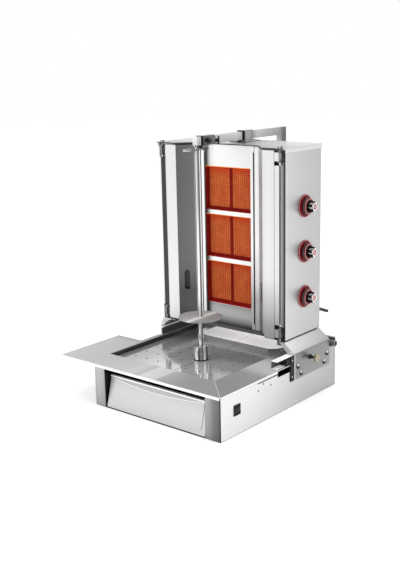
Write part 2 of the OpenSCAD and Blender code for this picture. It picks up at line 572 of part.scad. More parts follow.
base_bottom();
base_side_walls();
base_posts();
base_back();
tray_top();
basin();
floor_left();
floor_right();
deck();
drip_pan();
drawer_body();
drawer_front();
drawer_runners();
rails();
gear_motor();
gearbox();
spindle_shaft();
spindle_seal();
spit_socket();
spit_rod();
spit_disc();
carriage_sides();
carriage_frame();
carriage_pads();
carriage_bolts();
lock_knob();
tower_sides();
tower_front();
tower_back();
tower_cap();
hinge_pins();
wing_left();
wing_right();
burner_1();
burner_2();
burner_3();
plaques_1();
plaques_2();
plaques_3();
thermocouples();
gas_train();
knob_bezels();
valve_stem_1();
valve_stem_2();
valve_stem_3();
knob_1();
knob_2();
knob_3();
arm_collar();
arm_bar();
arm_head();
head_screw();
arm_screw();
switch_body();
rocker_1();
rocker_2();
gas_inlet();
cable_gland();
rear_handle();
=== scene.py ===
import math

import bmesh
import bpy
from mathutils import Matrix, Vector


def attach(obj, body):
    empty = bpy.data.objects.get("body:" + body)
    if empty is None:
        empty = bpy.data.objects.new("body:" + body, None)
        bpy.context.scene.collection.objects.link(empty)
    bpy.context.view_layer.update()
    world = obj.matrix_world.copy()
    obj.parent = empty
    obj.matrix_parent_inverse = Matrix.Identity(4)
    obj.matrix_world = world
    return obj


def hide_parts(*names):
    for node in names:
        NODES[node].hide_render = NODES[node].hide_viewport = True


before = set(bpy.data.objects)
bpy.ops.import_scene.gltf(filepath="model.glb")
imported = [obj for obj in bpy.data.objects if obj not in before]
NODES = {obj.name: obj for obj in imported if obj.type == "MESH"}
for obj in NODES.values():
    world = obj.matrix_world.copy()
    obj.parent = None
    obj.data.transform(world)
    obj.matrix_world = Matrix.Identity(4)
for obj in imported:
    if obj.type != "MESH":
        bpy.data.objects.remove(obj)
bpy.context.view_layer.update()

scene = bpy.context.scene


# ------------------------------------------------------------------ camera
def make_camera():
    f, a, e, r = 913.089, 0.7012958, 0.2354506, -0.0215859
    t = Vector((-134.334, -438.770, -2768.808))
    back = Vector((math.sin(a) * math.cos(e), -math.cos(a) * math.cos(e), math.sin(e)))
    right = Vector((math.cos(a), math.sin(a), 0))
    up = back.cross(right)
    r2 = right * math.cos(r) + up * math.sin(r)
    u2 = up * math.cos(r) - right * math.sin(r)
    m = Matrix((r2, u2, back))
    where = (-(m.transposed() @ t) + Vector((38, -268, 0))) / 1000
    cam = bpy.data.objects.new("camera", bpy.data.cameras.new("camera"))
    scene.collection.objects.link(cam)
    cam.matrix_world = Matrix.Translation(where) @ m.transposed().to_4x4()
    d = cam.data
    d.sensor_fit, d.sensor_width, d.lens = "AUTO", 36, f * 36 / 570
    d.shift_x, d.shift_y = (200 - 199.414) / 570, (277.942 - 285) / 570
    d.clip_start, d.clip_end = 0.05, 60
    scene.camera = cam


make_camera()


# ------------------------------------------------------------------ materials
class Mat:
    """A procedural material on object coordinates, in metres."""

    def __init__(self, name, **const):
        self.m = bpy.data.materials.new(name)
        self.m.use_nodes = True
        self.t = self.m.node_tree
        self.n = self.t.nodes
        self.b = self.n["Principled BSDF"]
        self.co = self.n.new("ShaderNodeTexCoord").outputs["Object"]
        for k, v in const.items():
            self.b.inputs[k.replace("_", " ")].default_value = v

    def link(self, a, b):
        self.t.links.new(a, b)
        return self

    def mapped(self, scale=(1, 1, 1), rot=(0, 0, 0), loc=(0, 0, 0)):
        n = self.n.new("ShaderNodeMapping")
        n.inputs["Scale"].default_value = scale
        n.inputs["Rotation"].default_value = rot
        n.inputs["Location"].default_value = loc
        self.link(self.co, n.inputs["Vector"])
        return n.outputs[0]

    def noise(self, scale, detail=3.0, rough=0.5, rot=(0, 0, 0), loc=(0, 0, 0)):
        n = self.n.new("ShaderNodeTexNoise")
        n.inputs["Scale"].default_value = 1.0
        n.inputs["Detail"].default_value = detail
        n.inputs["Roughness"].default_value = rough
        self.link(self.mapped(scale, rot, loc), n.inputs["Vector"])
        return n.outputs["Fac"]

    def remap(self, v, a, b, lo=0.3, hi=0.7):
        n = self.n.new("ShaderNodeMapRange")
        n.inputs["From Min"].default_value, n.inputs["From Max"].default_value = lo, hi
        n.inputs["To Min"].default_value, n.inputs["To Max"].default_value = a, b
        self.link(v, n.inputs["Value"])
        return n.outputs[0]

    def math(self, op, a, b=None, c=None):
        n = self.n.new("ShaderNodeMath")
        n.operation = op
        for i, v in enumerate((a, b, c)):
            if v is None:
                continue
            if isinstance(v, (int, float)):
                n.inputs[i].default_value = v
            else:
                self.link(v, n.inputs[i])
        return n.outputs[0]

    def mix(self, fac, a, b, blend="MIX"):
        n = self.n.new("ShaderNodeMix")
        n.data_type = "RGBA"
        n.blend_type = blend
        for s, v in ((n.inputs[0], fac), (n.inputs[6], a), (n.inputs[7], b)):
            if isinstance(v, (tuple, list)):
                s.default_value = (*v[:3], 1)
            elif isinstance(v, (int, float)):
                s.default_value = v
            else:
                self.link(v, s)
        return n.outputs[2]

    def axis(self, i):
        n = self.n.new("ShaderNodeSeparateXYZ")
        self.link(self.co, n.inputs[0])
        return n.outputs[i]

    def step(self, v, edge, soft=0.002):
        """0 below edge, 1 above it."""
        return self.remap(v, 0, 1, edge - soft, edge + soft)

    def color(self, v):
        return self.link(v, self.b.inputs["Base Color"])

    def rough(self, v):
        return self.link(v, self.b.inputs["Roughness"])

    def bump(self, h, strength=0.3, dist=0.0004):
        n = self.n.new("ShaderNodeBump")
        n.inputs["Strength"].default_value = strength
        n.inputs["Distance"].default_value = dist
        self.link(h, n.inputs["Height"])
        return self.link(n.outputs[0], self.b.inputs["Normal"])


GRAIN = {"x": (3, 900, 900), "y": (900, 3, 900), "z": (900, 900, 3)}


def steel(name, tone=0.74, rough=0.26, grain="z", vary=0.05, smudge=0.03, bump=0.06, dark=None):
    """Brushed stainless sheet: long fine grain, slow tonal drift and handling marks."""
    m = Mat(name, Metallic=1.0)
    g = m.noise(GRAIN[grain], 4.0, 0.65)
    slow = m.noise((5, 5, 5), 2.0, 0.5)
    marks = m.noise((26, 26, 26), 5.0, 0.7, loc=(3, 1, 7))
    c0 = (tone * (1 - vary), tone * (1 - vary), tone * (1 - vary) * 1.005)
    c1 = (tone * (1 + vary), tone * (1 + vary), tone * (1 + vary) * 1.008)
    c = m.mix(m.remap(g, 0, 1), c0, c1)
    c = m.mix(m.remap(slow, 0, smudge * 4), c, (tone * 0.86, tone * 0.865, tone * 0.88))
    if dark:
        axis, edge, side, d = dark
        s = m.step(m.axis(axis), edge)
        if side < 0:
            s = m.math("SUBTRACT", 1.0, s)
        c = m.mix(s, c, (d, d, d * 1.01))
    m.color(c)
    r = m.math("ADD", m.remap(g, -0.05, 0.06), m.remap(marks, -smudge, smudge, 0.35, 0.75))
    m.rough(m.math("ADD", r, rough))
    m.bump(g, bump, 0.0001)
    return m.m


def bevel(o, w=0.0006, seg=2, angle=35):
    """Weld, then soften the sharp edges, so that sheet edges and corners catch light."""
    d = o.modifiers.new("weld", "WELD")
    d.merge_threshold = 0.00001
    b = o.modifiers.new("bevel", "BEVEL")
    b.width, b.segments, b.limit_method = w, seg, "ANGLE"
    b.angle_limit = math.radians(angle)
    b.use_clamp_overlap = True
    b.harden_normals = False
    return o


def paint(mat, *names, w=0.0006):
    for n in names:
        o = NODES[n]
        o.data.materials.clear()
        o.data.materials.append(mat)
        if w:
            bevel(o, w)


def simple(name, rgb, rough=0.5, metal=0.0, vary=0.12, scale=60, bump=0.15, dist=0.0003, speck=None, **kw):
    """Painted, moulded or cast finish with colour drift, fine texture and uneven gloss."""
    m = Mat(name, Metallic=metal, **kw)
    n = m.noise((scale,) * 3, 5.0, 0.6)
    big = m.noise((9, 9, 9), 3.0, 0.5, loc=(5, 2, 8))
    lo = tuple(c * (1 - vary) for c in rgb)
    hi = tuple(min(1.0, c * (1 + vary)) for c in rgb)
    c = m.mix(m.remap(n, 0, 1), lo, hi)
    c = m.mix(m.remap(big, 0, 0.35), c, tuple(x * 0.8 for x in rgb))
    if speck:
        c = m.mix(m.remap(m.noise((scale * 6,) * 3, 2.0), 0, 1, 0.6, 0.7), c, speck)
    m.color(c)
    m.rough(m.remap(n, max(0.02, rough - 0.08), rough + 0.08))
    m.bump(n, bump, dist)
    return m.m


# ------------------------------------------------------------------ mesh helpers
def new(name, bm, mat, body, cad=None, smooth=40, bev=0.0):
    me = bpy.data.meshes.new(name)
    bmesh.ops.recalc_face_normals(bm, faces=bm.faces[:])
    bm.to_mesh(me)
    bm.free()
    for m in mat if isinstance(mat, (list, tuple)) else [mat]:
        me.materials.append(m)
    o = bpy.data.objects.new(name, me)
    scene.collection.objects.link(o)
    if bev:
        b = o.modifiers.new("bevel", "BEVEL")
        b.width, b.segments, b.limit_method, b.angle_limit = bev, 2, "ANGLE", math.radians(35)
    if smooth:
        me.shade_smooth()
        me.set_sharp_from_angle(angle=math.radians(smooth))
    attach(o, body)
    if cad:
        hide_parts(*([cad] if isinstance(cad, str) else cad))
    return o


def lathe(bm, prof, p, axis, n=48, mat=0, wob=None):
    """Turns (radius, height) pairs about an axis through p. wob(angle, radius, height) may change the radius."""
    z = Vector(axis).normalized()
    x = z.orthogonal().normalized() if abs(z.z) > 0.9 else Vector((0, 0, 1))
    y = z.cross(x)
    rings = []
    for r, h in prof:
        if r < 1e-7:
            rings.append([bm.verts.new(Vector(p) + z * h)])
            continue
        ring = []
        for k in range(n):
            t = 2 * math.pi * k / n
            q = wob(t, r, h) if wob else r
            ring.append(bm.verts.new(Vector(p) + z * h + x * (q * math.cos(t)) + y * (q * math.sin(t))))
        rings.append(ring)
    for a, b in zip(rings, rings[1:]):
        for k in range(n):
            j = (k + 1) % n
            if len(a) == 1 and len(b) == 1:
                continue
            if len(a) == 1:
                f = bm.faces.new((a[0], b[k], b[j]))
            elif len(b) == 1:
                f = bm.faces.new((a[k], b[0], a[j]))
            else:
                f = bm.faces.new((a[k], b[k], b[j], a[j]))
            f.material_index = mat
    return rings


def block(bm, lo, hi, mat=0, rot=None, about=None):
    r = bmesh.ops.create_cube(bm, size=1)
    for v in r["verts"]:
        for i in range(3):
            v.co[i] = (lo[i] + hi[i]) / 2 + v.co[i] * (hi[i] - lo[i])
        if rot is not None:
            v.co = Vector(about) + rot @ (v.co - Vector(about))
    for f in {f for v in r["verts"] for f in v.link_faces}:
        f.material_index = mat
    return r["verts"]


def prism(bm, outline, n0, n1, frame3, mat=0):
    """Closed prism: outline points (u, v) in the plane of frame3 = (origin, u axis, v axis, normal), from n0 to n1 along the normal."""
    o, u, v, w = (Vector(q) for q in frame3)
    a = [bm.verts.new(o + u * x + v * y + w * n0) for x, y in outline]
    b = [bm.verts.new(o + u * x + v * y + w * n1) for x, y in outline]
    k = len(a)
    fs = [bm.faces.new(a[::-1]), bm.faces.new(b)]
    fs += [bm.faces.new((a[i], a[(i + 1) % k], b[(i + 1) % k], b[i])) for i in range(k)]
    for f in fs:
        f.material_index = mat
    return fs


def sweep(bm, prof, pts, up=(0, 0, 1), mat=0, close=True):
    """Sheet profile (u, v) points carried along a straight line pts[0] to pts[1]; u is along the sheet's outward side, v is up."""
    a, b = Vector(pts[0]), Vector(pts[1])
    t = (b - a).normalized()
    v = Vector(up)
    u = t.cross(v).normalized()
    r = [[bm.verts.new(p + u * x + v * y) for x, y in prof] for p in (a, b)]
    k = len(prof)
    for i in range(k if close else k - 1):
        j = (i + 1) % k
        bm.faces.new((r[0][i], r[0][j], r[1][j], r[1][i])).material_index = mat
    if close:
        bm.faces.new(r[0][::-1]).material_index = mat
        bm.faces.new(r[1]).material_index = mat


def offset_profile(path, th):
    """Closed outline of a sheet of thickness th whose outer face follows path."""
    n = len(path)
    inner = []
    for i, p in enumerate(path):
        d0 = Vector(path[i]) - Vector(path[i - 1]) if i else None
        d1 = Vector(path[i + 1]) - Vector(path[i]) if i < n - 1 else None
        d = (d0.normalized() if d0 else Vector((0, 0))) + (d1.normalized() if d1 else Vector((0, 0)))
        d.normalize()
        k = 1.0
        if d0 and d1:
            k = 1 / max(0.5, math.cos(d0.angle(d1) / 2))
        inner.append((p[0] - d.y * th * k, p[1] + d.x * th * k))
    return list(path) + inner[::-1]


# ------------------------------------------------------------------ finishes
def lin(v):
    """Linear value of a tone given from 0 to 255."""
    v /= 255
    return v / 12.92 if v <= 0.04045 else ((v + 0.055) / 1.055) ** 2.4


def ramp(m, v, stops):
    """Tone along a coordinate: stops are (metres, tone 0 to 255)."""
    a, b = stops[0][0], stops[-1][0]
    n = m.n.new("ShaderNodeValToRGB")
    m.link(m.remap(v, 0, 1, a, b), n.inputs[0])
    e = n.color_ramp.elements
    for i, (p, tone) in enumerate(stops):
        q = (p - a) / (b - a)
        x = e[0] if i == 0 else e[len(e) - 1] if i == len(stops) - 1 else e.new(q)
        x.position = q
        c = lin(tone)
        x.color = (c, c, c, 1)
    return n.outputs[0]


def normal(m, i):
    g = m.n.new("ShaderNodeNewGeometry")
    s = m.n.new("ShaderNodeSeparateXYZ")
    m.link(g.outputs["Normal"], s.inputs[0])
    return s.outputs[i]


def between(m, v, a, b, soft=0.0004):
    return m.math("MULTIPLY", m.step(v, a, soft), m.math("SUBTRACT", 1.0, m.step(v, b, soft)))


def grey(t):
    c = lin(t)
    return (c, c, c)


def sheet(name, tone, rough=0.28, grain="z", vary=0.05, smudge=0.03, bump=0.05, metal=0.9, bounce=0.0, **kw):
    """Brushed sheet whose tone follows a graph built by tone(m)."""
    m = Mat(name, Metallic=metal, **kw)
    g = m.noise(GRAIN[grain], 4.0, 0.65)
    slow = m.noise((5, 5, 5), 2.0, 0.5)
    marks = m.noise((26, 26, 26), 5.0, 0.7, loc=(3, 1, 7))
    base = tone(m) if callable(tone) else grey(tone)
    lo = m.mix(1.0, base, (1 - vary,) * 3, "MULTIPLY")
    hi = m.mix(1.0, base, (1 + vary,) * 3, "MULTIPLY")
    c = m.mix(m.remap(g, 0, 1), lo, hi)
    c = m.mix(m.remap(slow, 0, smudge * 3), c, m.mix(1.0, base, (0.86, 0.865, 0.88), "MULTIPLY"))
    m.color(c)
    # bounce is painted light: the sheet glows with its own colour, standing in for light bounced onto it
    if bounce:
        m.link(c, m.b.inputs["Emission Color"])
        m.b.inputs["Emission Strength"].default_value = bounce
    r = m.math("ADD", m.remap(g, -0.05, 0.06), m.remap(marks, -smudge, smudge, 0.35, 0.75))
    m.rough(m.math("ADD", r, rough))
    m.bump(g, bump, 0.0001)
    return m.m


def side_wall_tone(m):
    # painted shade: dark dots over the three small holes in the wall
    hole_shade = None
    for py, pz in ((-0.061, 0.119), (-0.022, 0.105), (-0.087, 0.104)):
        dy, dz = m.math("SUBTRACT", m.axis(1), py), m.math("SUBTRACT", m.axis(2), pz)
        q = m.math("ADD", m.math("MULTIPLY", dy, dy), m.math("MULTIPLY", dz, dz))
        q = m.math("SUBTRACT", 1.0, m.step(m.math("SQRT", q, 0.0), 0.0030, 0.0003))
        hole_shade = q if hole_shade is None else m.math("ADD", hole_shade, q)
    # painted light: the walls right of x -0.2 darken from front to back, and the left wall is painted a flat darker
    # grey
    a = ramp(m, m.axis(1), [(-0.268, 226), (-0.15, 224), (0.0, 212), (0.15, 190), (0.345, 172)])
    a = m.mix(hole_shade, a, grey(34))
    c = m.mix(m.step(m.axis(0), -0.2, 0.01), grey(176), a)
    # painted shade: the inner faces below z 0.1395 are painted dark
    inner = m.math("MULTIPLY", between(m, m.axis(0), -0.2608, 0.2922, 0.0002), between(m, m.axis(1), -0.2172, 0.3441, 0.0002))
    inner = m.mix(m.step(m.axis(2), 0.1395, 0.0004), m.mix(inner, grey(0), grey(255)), grey(0))
    return m.mix(inner, c, grey(26))


def post_tone(m):
    # painted light and shade: the posts are toned across x with their returns painted near black, faces behind y
    # -0.2655 are painted dark, and all darken towards the foot
    a = ramp(m, m.axis(0), [(-0.217, 160), (-0.205, 175), (-0.19, 170), (-0.1745, 158), (-0.1738, 30), (-0.172, 26),
                            (0.2355, 30), (0.2362, 156), (0.25, 150), (0.268, 118), (0.285, 104), (0.2895, 92), (0.2905, 20), (0.2935, 24)])
    back = m.step(m.axis(1), -0.2655, 0.0004)
    c = m.mix(back, a, grey(34))
    low = m.remap(m.axis(2), 0.86, 1.08, 0.0, 0.13)
    return m.mix(1.0, c, low, "MULTIPLY")


def tray_tone(m):
    x, y, z = m.axis(0), m.axis(1), m.axis(2)
    # painted light: the tray's faces are toned across x and y, standing in for reflections
    front = ramp(m, x, [(-0.370, 193), (-0.25, 188), (-0.12, 192), (-0.055, 202), (-0.045, 190), (-0.03, 186), (-0.02, 214),
                        (0.035, 206), (0.05, 174), (0.12, 154), (0.293, 146)])
    right = ramp(m, y, [(-0.268, 140), (-0.14, 144), (-0.06, 152), (-0.02, 186), (0.03, 204), (0.09, 196), (0.12, 156), (0.345, 120)])
    # the miter runs from the basin corner to the outer corner; a painted highlight line runs along it, and the faces
    # either side take different painted tones
    d = m.math("ADD", m.math("SUBTRACT", x, 0.193), m.math("MULTIPLY", m.math("ADD", y, 0.170), 1.02))
    c = m.mix(m.step(d, 0.0, 0.0006), front, right)
    c = m.mix(between(m, d, -0.0011, 0.0011, 0.0005), c, grey(216))
    # painted shade on the rear left part
    rear = m.step(y, -0.02, 0.02)
    left = m.math("SUBTRACT", 1.0, m.step(x, -0.25, 0.004))
    c = m.mix(m.math("MULTIPLY", rear, left), c, grey(170))
    # painted light and shade: faces turned up are painted near white, faces turned down are painted dark
    top = m.step(normal(m, 2), 0.5, 0.2)
    c = m.mix(top, grey(252), c)
    under = m.math("SUBTRACT", 1.0, m.step(normal(m, 2), -0.6, 0.1))
    return m.mix(under, c, grey(120))


def floor_tone(m):
    # painted reflection: the floor's tone runs across x
    c = ramp(m, m.axis(0), [(-0.25, 176), (-0.17, 186), (-0.12, 206), (-0.06, 222), (0.0, 226), (0.193, 196)])
    # painted shade: faces that are not level, the walls of the drain holes, are painted near black
    side = m.math("SUBTRACT", 1.0, m.step(m.math("ABSOLUTE", normal(m, 2), 0.0), 0.5, 0.2))
    c = m.mix(side, c, grey(22))
    return m.mix(between(m, m.axis(0), -0.0009, 0.0009, 0.0003), c, grey(60))


def deck_tone(m):
    # painted light: the deck is toned lighter towards its middle
    c = ramp(m, m.axis(0), [(-0.17, 214), (-0.05, 236), (0.0, 250), (0.06, 236), (0.165, 246)])
    # painted shade: faces that are not level, its front edge among them, are painted darker
    front = m.math("SUBTRACT", 1.0, m.step(normal(m, 2), 0.5, 0.2))
    seam = between(m, m.axis(0), -0.0008, 0.0012, 0.0003)
    c = m.mix(seam, c, grey(70))
    return m.mix(front, c, grey(112))


def basin_tone(m):
    # painted light and shade: faces turned towards +x darken towards their foot, the other faces take a flat mid grey
    n = m.step(normal(m, 0), 0.5, 0.2)
    c = m.mix(n, grey(150), ramp(m, m.axis(2), [(0.118, 86), (0.131, 96), (0.133, 122), (0.138, 128)]))
    return c


def front_tone(m):
    x, z = m.axis(0), m.axis(2)
    # painted light and shade: across x, dark bands stand for shade beside the guide strips and behind the left shield,
    # with shaded falloffs next to the strips
    c = ramp(m, x, [(-0.2555, 236), (-0.236, 236), (-0.18, 66), (-0.1315, 62), (-0.1283, 50), (-0.1276, 236), (-0.118, 250), (-0.1108, 240),
                    (-0.1103, 52), (-0.1065, 46), (-0.1062, 246), (-0.0951, 252), (-0.0946, 56), (-0.086, 70), (-0.071, 226), (-0.05, 244),
                    (0.094, 240), (0.0953, 250), (0.1042, 250), (0.1048, 60), (0.1068, 66), (0.1092, 240), (0.119, 248), (0.1272, 240),
                    (0.1284, 128), (0.134, 150), (0.2, 150), (0.234, 190), (0.2555, 90)])
    # painted shade: between the guides the lower panel is shaded by height, darkest at the foot
    low = ramp(m, z, [(0.200, 60), (0.206, 90), (0.22, 168), (0.236, 212), (0.25, 206), (0.262, 186), (0.2695, 164), (0.2705, 255), (0.29, 255)])
    inner = between(m, x, -0.0945, 0.0945, 0.0004)
    c = m.mix(inner, c, m.mix(1.0, c, low, "MULTIPLY"))
    # painted shade: the right-hand margin falls off towards the foot, with a painted dark reflection in its lower part
    v = m.remap(z, 0.60, 1.0, 0.25, 0.48)
    c = m.mix(m.step(x, 0.0947, 0.0004), c, m.mix(1.0, c, m.mix(v, grey(0), grey(255)), "MULTIPLY"))
    # painted shade: a dark band at x 0.1284 to 0.1345, z 0.30 to 0.47
    shade_band = m.math("MULTIPLY", between(m, x, 0.1284, 0.1345, 0.0006), between(m, z, 0.30, 0.47, 0.012))
    return m.mix(shade_band, c, grey(34))


def wing_l_tone(m):
    x, z = m.axis(0), m.axis(2)
    # painted light and shade: a dark strip stands for shade near the outer edge, and the angled panel is painted
    # darker, darkening further towards its foot
    c = ramp(m, x, [(-0.2395, 210), (-0.2374, 56), (-0.2222, 54), (-0.2208, 218), (-0.2120, 226), (-0.1758, 224), (-0.1752, 108), (-0.15, 118), (-0.1318, 126), (-0.1308, 236), (-0.129, 240)])
    low = m.remap(z, 0.80, 1.06, 0.2, 0.42)
    dark = m.math("SUBTRACT", m.step(x, -0.1755, 0.0003), m.step(x, -0.1312, 0.0003))
    return m.mix(dark, c, m.mix(1.0, c, low, "MULTIPLY"))


def wing_r_tone(m):
    x = m.axis(0)
    # painted light and shade: the angled panel is painted darker, with darker lines at x 0.219 and at the outer edge,
    # and the whole shield darkens towards its foot
    c = ramp(m, x, [(0.129, 236), (0.1308, 200), (0.132, 164), (0.173, 172), (0.1752, 220), (0.19, 226), (0.2185, 222), (0.2192, 146), (0.2204, 146), (0.2212, 226), (0.2350, 224), (0.2356, 176), (0.238, 140)])
    low = m.remap(m.axis(2), 0.55, 1.0, 0.24, 0.40)
    return m.mix(1.0, c, low, "MULTIPLY")


def tower_side_tone(m):
    x, y, z = m.axis(0), m.axis(1), m.axis(2)
    # painted light and shade: the sides darken towards the back and towards the foot, the front flanges carry dark
    # strips painted as shade, and everything below z 0.2035 is painted dark
    a = ramp(m, y, [(0.106, 206), (0.13, 197), (0.2, 190), (0.31, 181)])
    up = m.remap(z, 1.0, 1.07, 0.2, 0.8)
    a = m.mix(1.0, a, up, "MULTIPLY")
    outer = ramp(m, x, [(-0.2556, 150), (-0.2548, 176), (-0.2540, 234), (-0.2496, 232), (-0.2486, 150), (-0.2478, 66), (-0.2320, 52)])
    outer = m.mix(1.0, outer, m.remap(z, 0.80, 1.0, 0.26, 0.46), "MULTIPLY")
    flange = m.mix(m.step(x, 0.0, 0.001), outer, ramp(m, x, [(0.232, 232), (0.238, 214), (0.2425, 150), (0.2480, 112), (0.2512, 92), (0.2518, 26), (0.256, 24)]))
    f = m.math("SUBTRACT", 1.0, m.step(y, 0.1092, 0.0002))
    c = m.mix(f, a, flange)
    low = m.math("SUBTRACT", 1.0, m.step(z, 0.2035, 0.0006))
    return m.mix(low, c, grey(60))


def back_tone(m):
    # painted shade: the back darkens towards the foot
    c = ramp(m, m.axis(2), [(0.2, 170), (0.4, 196), (0.8, 210)])
    return c


def cap_tone(m):
    x, y = m.axis(0), m.axis(1)
    # painted light and shade: the top lightens towards the back, front-facing sides are painted dark, the other sides
    # light, and the undersides dark
    top = ramp(m, y, [(0.098, 186), (0.15, 196), (0.22, 216), (0.31, 230)])
    nz = normal(m, 2)
    side = m.mix(m.step(normal(m, 1), -0.5, 0.2), grey(90), grey(218))
    c = m.mix(m.step(nz, 0.5, 0.2), side, top)
    return m.mix(m.math("SUBTRACT", 1.0, m.step(nz, -0.5, 0.2)), c, grey(70))


def carriage_tone(m):
    x, y, z = m.axis(0), m.axis(1), m.axis(2)
    # painted light and shade: the leaning band lightens upwards, the plate is toned by depth and darker upwards and
    # towards the back, front-facing faces are painted light, and a darker line is painted along the fold at z 0.168
    lean = ramp(m, z, [(0.166, 214), (0.18, 236), (0.1985, 246)])
    plate = ramp(m, y, [(0.1, 226), (0.1035, 222), (0.105, 134), (0.16, 140), (0.25, 140), (0.306, 146)])
    low = m.remap(z, 1.06, 0.93, 0.084, 0.168)
    c = m.mix(m.step(z, 0.168, 0.0006), m.mix(1.0, plate, low, "MULTIPLY"), lean)
    c = m.mix(m.step(z, 0.168, 0.0006), c, m.mix(1.0, c, m.remap(y, 1.0, 0.62, 0.11, 0.30), "MULTIPLY"))
    front = m.math("SUBTRACT", 1.0, m.step(normal(m, 1), -0.6, 0.1))
    c = m.mix(front, c, grey(206))
    edge = between(m, z, 0.1674, 0.1688, 0.0003)
    return m.mix(edge, c, grey(120))


def arm_tone(m):
    x, y, z = m.axis(0), m.axis(1), m.axis(2)
    # painted light and shade: the bar is toned along y with light and dark bands, its top and front faces are painted
    # light, and it darkens slightly towards its foot
    side = ramp(m, y, [(-0.0075, 70), (-0.0062, 90), (-0.0050, 232), (0.0005, 236), (0.0015, 130), (0.0028, 232), (0.0085, 226), (0.0105, 60), (0.0135, 30), (0.072, 124), (0.076, 204), (0.19, 204), (0.221, 180), (0.272, 150), (0.30, 190), (0.40, 164), (0.437, 150), (0.439, 120), (0.468, 104)])
    nz, ny = normal(m, 2), normal(m, 1)
    c = m.mix(m.step(nz, 0.5, 0.2), side, grey(222))
    front = m.math("SUBTRACT", 1.0, m.step(ny, -0.6, 0.1))
    c = m.mix(front, c, m.mix(m.step(y, 0.3, 0.01), grey(232), grey(210)))
    grad = m.remap(z, 0.86, 1.08, 0.812, 0.838)
    return m.mix(1.0, c, grad, "MULTIPLY")


def collar_tone(m):
    y, z = m.axis(1), m.axis(2)
    # painted light: the collar is toned along y and its top faces are painted light; it also has a near-black band at y
    # 0.222 to 0.227, and its front faces are near black
    c = ramp(m, y, [(0.205, 120), (0.2215, 60), (0.222, 12), (0.227, 16), (0.2275, 150), (0.25, 168), (0.268, 132), (0.29, 110)])
    c = m.mix(m.step(normal(m, 2), 0.7, 0.1), c, grey(196))
    front = m.math("SUBTRACT", 1.0, m.step(normal(m, 1), -0.35, 0.1))
    return m.mix(front, c, grey(26))


def head_tone(m):
    y, z = m.axis(1), m.axis(2)
    # painted light and shade: the clamp head is toned along y with near-black bands, its top and front faces are toned
    # by height, and the riser's side faces are painted mid grey where they face +x and dark elsewhere
    c = ramp(m, y, [(-0.060, 150), (-0.018, 160), (0.0, 176), (0.0128, 150), (0.0132, 8), (0.0152, 10), (0.0160, 96), (0.04, 112), (0.0728, 122), (0.0735, 60)])
    c = m.mix(m.step(normal(m, 2), 0.5, 0.2), c, m.mix(m.step(z, 0.806, 0.001), grey(72), grey(186)))
    front = m.math("SUBTRACT", 1.0, m.step(normal(m, 1), -0.5, 0.1))
    c = m.mix(front, c, m.mix(m.step(z, 0.8098, 0.0002), grey(190), grey(8)))
    low = m.mix(m.step(normal(m, 0), 0.5, 0.1), grey(60), grey(150))
    riser = m.math("MULTIPLY", between(m, z, 0.8029, 0.8098, 0.0002), m.math("SUBTRACT", 1.0, m.step(m.math("ABSOLUTE", normal(m, 2)), 0.5, 0.1)))
    return m.mix(riser, c, low)


def drawer_tone(m):
    x, y, z = m.axis(0), m.axis(1), m.axis(2)
    # painted light: toned slightly by height
    c = ramp(m, z, [(0.0, 204), (0.02, 208), (0.06, 215), (0.1, 210)])
    # painted sheen below the lip: the band above an arched line is painted a little darker, and a painted highlight
    # runs along the arch
    ex = m.math("DIVIDE", m.math("SUBTRACT", x, 0.02), 0.205)
    arch = m.math("SUBTRACT", z, m.math("ADD", m.math("MULTIPLY", m.math("MULTIPLY", ex, ex), 0.015), 0.084))
    c = m.mix(m.step(arch, 0.0, 0.0012), c, grey(194))
    line = between(m, arch, -0.0009, 0.0012, 0.0008)
    c = m.mix(line, c, grey(246))
    # painted shade on faces turned down; the lip above z 0.0992 is painted as a highlight
    under = m.math("SUBTRACT", 1.0, m.step(normal(m, 2), -0.5, 0.15))
    c = m.mix(under, c, grey(80))
    lip = m.step(z, 0.0992, 0.0004)
    c = m.mix(lip, c, grey(250))
    # painted shade on the faces turned sideways below z 0.1, the edges of the raised field among them
    el = m.step(m.math("ABSOLUTE", normal(m, 0)), 0.6, 0.1)
    return m.mix(m.math("MULTIPLY", el, m.math("SUBTRACT", 1.0, m.step(z, 0.1, 0.0005))), c, grey(96))


base_side = sheet("base_side", side_wall_tone, 0.34, "y")
base_front = sheet("base_front", post_tone, 0.34, "z")
tray_mat = sheet("tray_brushed", tray_tone, 0.6, "x", vary=0.03, bump=0.010, metal=0.1, Specular_IOR_Level=0.15)
# the floor's tones are painted reflections and shade, from floor_tone
floor_mat = sheet("floor_polished_painted_reflections", floor_tone, 0.07, "y", vary=0.012, smudge=0.01, bump=0.002, metal=0.5)
basin_mat = sheet("basin_sheet", basin_tone, 0.3, "y")
# painted light: the deck glows (bounce 0.55), standing in for light it gets under the tower
deck_mat = sheet("deck_painted_light", deck_tone, 0.5, "x", vary=0.015, bump=0.005, metal=0.0, bounce=0.55)
# painted shade: the inner sheets are painted near black, standing for the shade inside the base and drawer
inner_shade = steel("inner_sheet_painted_shade", 0.10, 0.40, "x")
tower_side_mat = sheet("tower_side_sheet", tower_side_tone, 0.36, "z", vary=0.025, metal=0.75)
back_mat = sheet("tower_back_sheet", back_tone, 0.34, "z")
tower_front_mat = sheet("tower_front_sheet", front_tone, 0.34, "z", vary=0.03, metal=0.7)
cap_mat = sheet("cap_sheet", cap_tone, 0.30, "y")
wing_l_mat = sheet("shield_left_sheet", wing_l_tone, 0.36, "z", vary=0.02, metal=0.7)
wing_r_mat = sheet("shield_right_sheet", wing_r_tone, 0.36, "z", vary=0.02, metal=0.7)
carriage_mat = sheet("carriage_sheet", carriage_tone, 0.34, "y", metal=0.8)
arm_mat = sheet("arm_tube", arm_tone, 0.32, "y")
collar_mat = sheet("collar_sheet", collar_tone, 0.32, "z")
# the clamp's tones are painted light and shade, from head_tone
clamp_mat = sheet("clamp_painted_light", head_tone, 0.26, "z")


